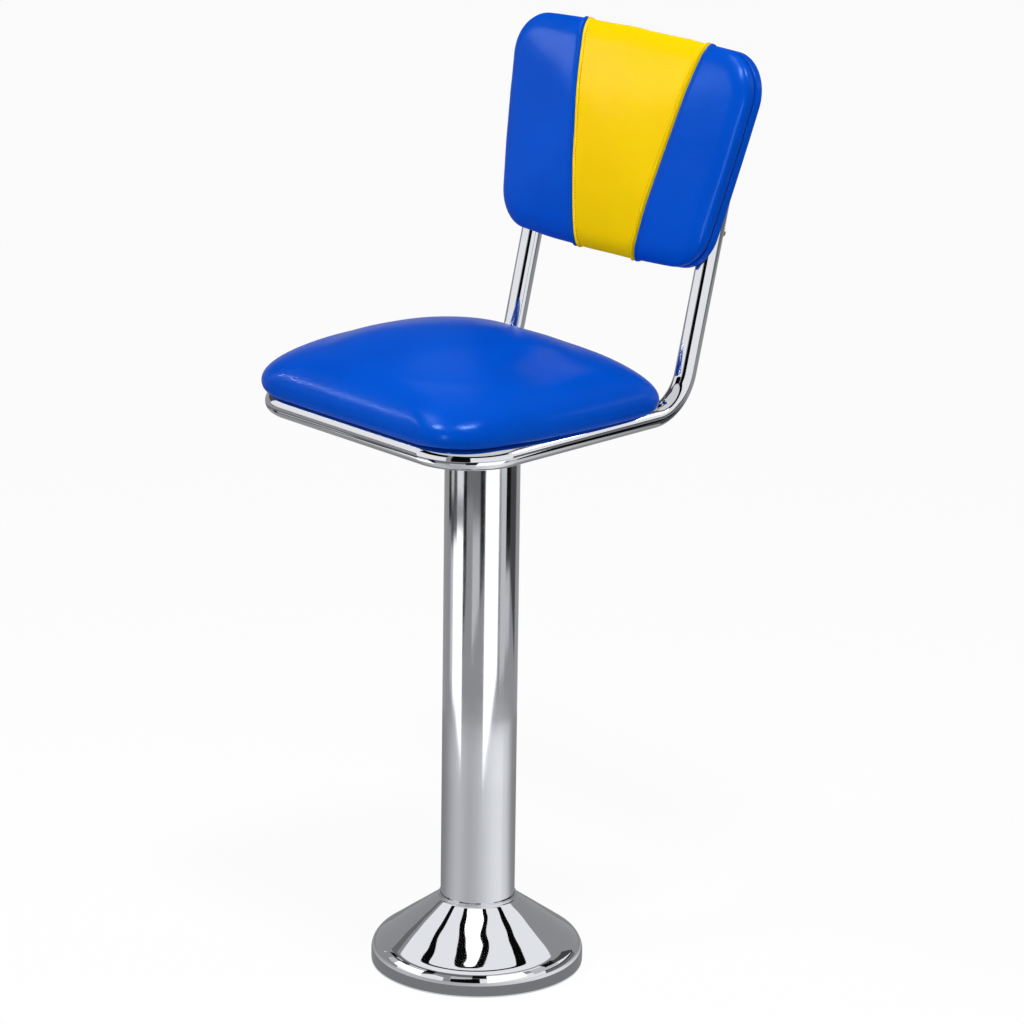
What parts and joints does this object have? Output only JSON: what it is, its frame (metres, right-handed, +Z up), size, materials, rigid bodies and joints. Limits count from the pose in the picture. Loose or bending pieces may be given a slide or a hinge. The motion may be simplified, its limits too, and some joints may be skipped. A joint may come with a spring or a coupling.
{
  "type": "counter stool",
  "caption": "Floor-mounted diner counter stool with a back, chromed column and cone base, bent tube frame and crowned vinyl seat that swivels.",
  "frame": {"origin": "column axis at the underside of the floor flange", "axes": "+Z up along the column, -Y towards the front of the seat, +X to the sitter's left"},
  "size_m": [0.4142, 0.4737, 1.1077],
  "materials": {
    "cast_iron": "sand-cast, black primer",
    "chrome_column": "mirror polished",
    "chrome_cover": "mirror polished spinning",
    "chrome_trim": "mirror polished",
    "chrome_frame": "mirror polished",
    "bronze": "sintered",
    "bearing_steel": "ground",
    "cage_steel": "pressed",
    "bare_steel": "black painted",
    "turned_steel": "turned",
    "zinc_steel": "zinc plated",
    "chrome_screws": "bright",
    "black_plastic": "moulded",
    "plywood": "unfinished",
    "foam": "cut foam",
    "blue_vinyl": "satin, fine grain",
    "yellow_vinyl": "satin, fine grain",
    "dust_cloth": "non-woven"
  },
  "bodies": {
    "pedestal": {"floor_flange": "cast_iron", "column_tube": "chrome_column", "bearing_housing": "cast_iron", "upper_bushing": "bronze", "lower_bushing": "bronze", "lower_race": "bearing_steel"},
    "cover": {"base_cover": "chrome_cover", "neck_ring": "chrome_trim"},
    "bearing": {"bearing_balls": "bearing_steel", "ball_cage": "cage_steel"},
    "seat": {"upper_race": "bearing_steel", "swivel_plate": "bare_steel", "plate_bolts": "zinc_steel", "plate_nuts": "zinc_steel", "spindle": "turned_steel", "retaining_washer": "zinc_steel", "castle_nut": "zinc_steel", "cotter_pin": "zinc_steel", "front_strap": "bare_steel", "rear_strap": "bare_steel", "seat_frame": "chrome_frame", "upright_plugs": "black_plastic", "seat_board": "plywood", "seat_foam": "foam", "seat_cover": "blue_vinyl", "seat_dust_cloth": "dust_cloth", "seat_screws": "zinc_steel", "back_board": "plywood", "back_foam": "foam", "back_cover_left": "blue_vinyl", "back_cover_insert": "yellow_vinyl", "back_cover_right": "blue_vinyl", "rear_panel_board": "plywood", "rear_panel_cover": "blue_vinyl", "back_screws": "chrome_screws", "back_tee_nuts": "zinc_steel"}
  },
  "joints": [
    {"name": "seat_swivel", "type": "hinge", "parent": "pedestal", "child": "seat", "pos_m": [0, 0, 0.68], "axis": [0, 0, 1], "continuous": true},
    {"name": "cage_roll", "type": "hinge", "parent": "pedestal", "child": "bearing", "pos_m": [0, 0, 0.68], "axis": [0, 0, 1], "continuous": true},
    {"name": "cover_slide", "type": "slide", "parent": "pedestal", "child": "cover", "axis": [0, 0, 1], "range_m": [0, 0.58]}
  ],
  "couplings": [
    {"joint": "cage_roll", "follows": "seat_swivel", "ratio": 0.5}
  ]
}
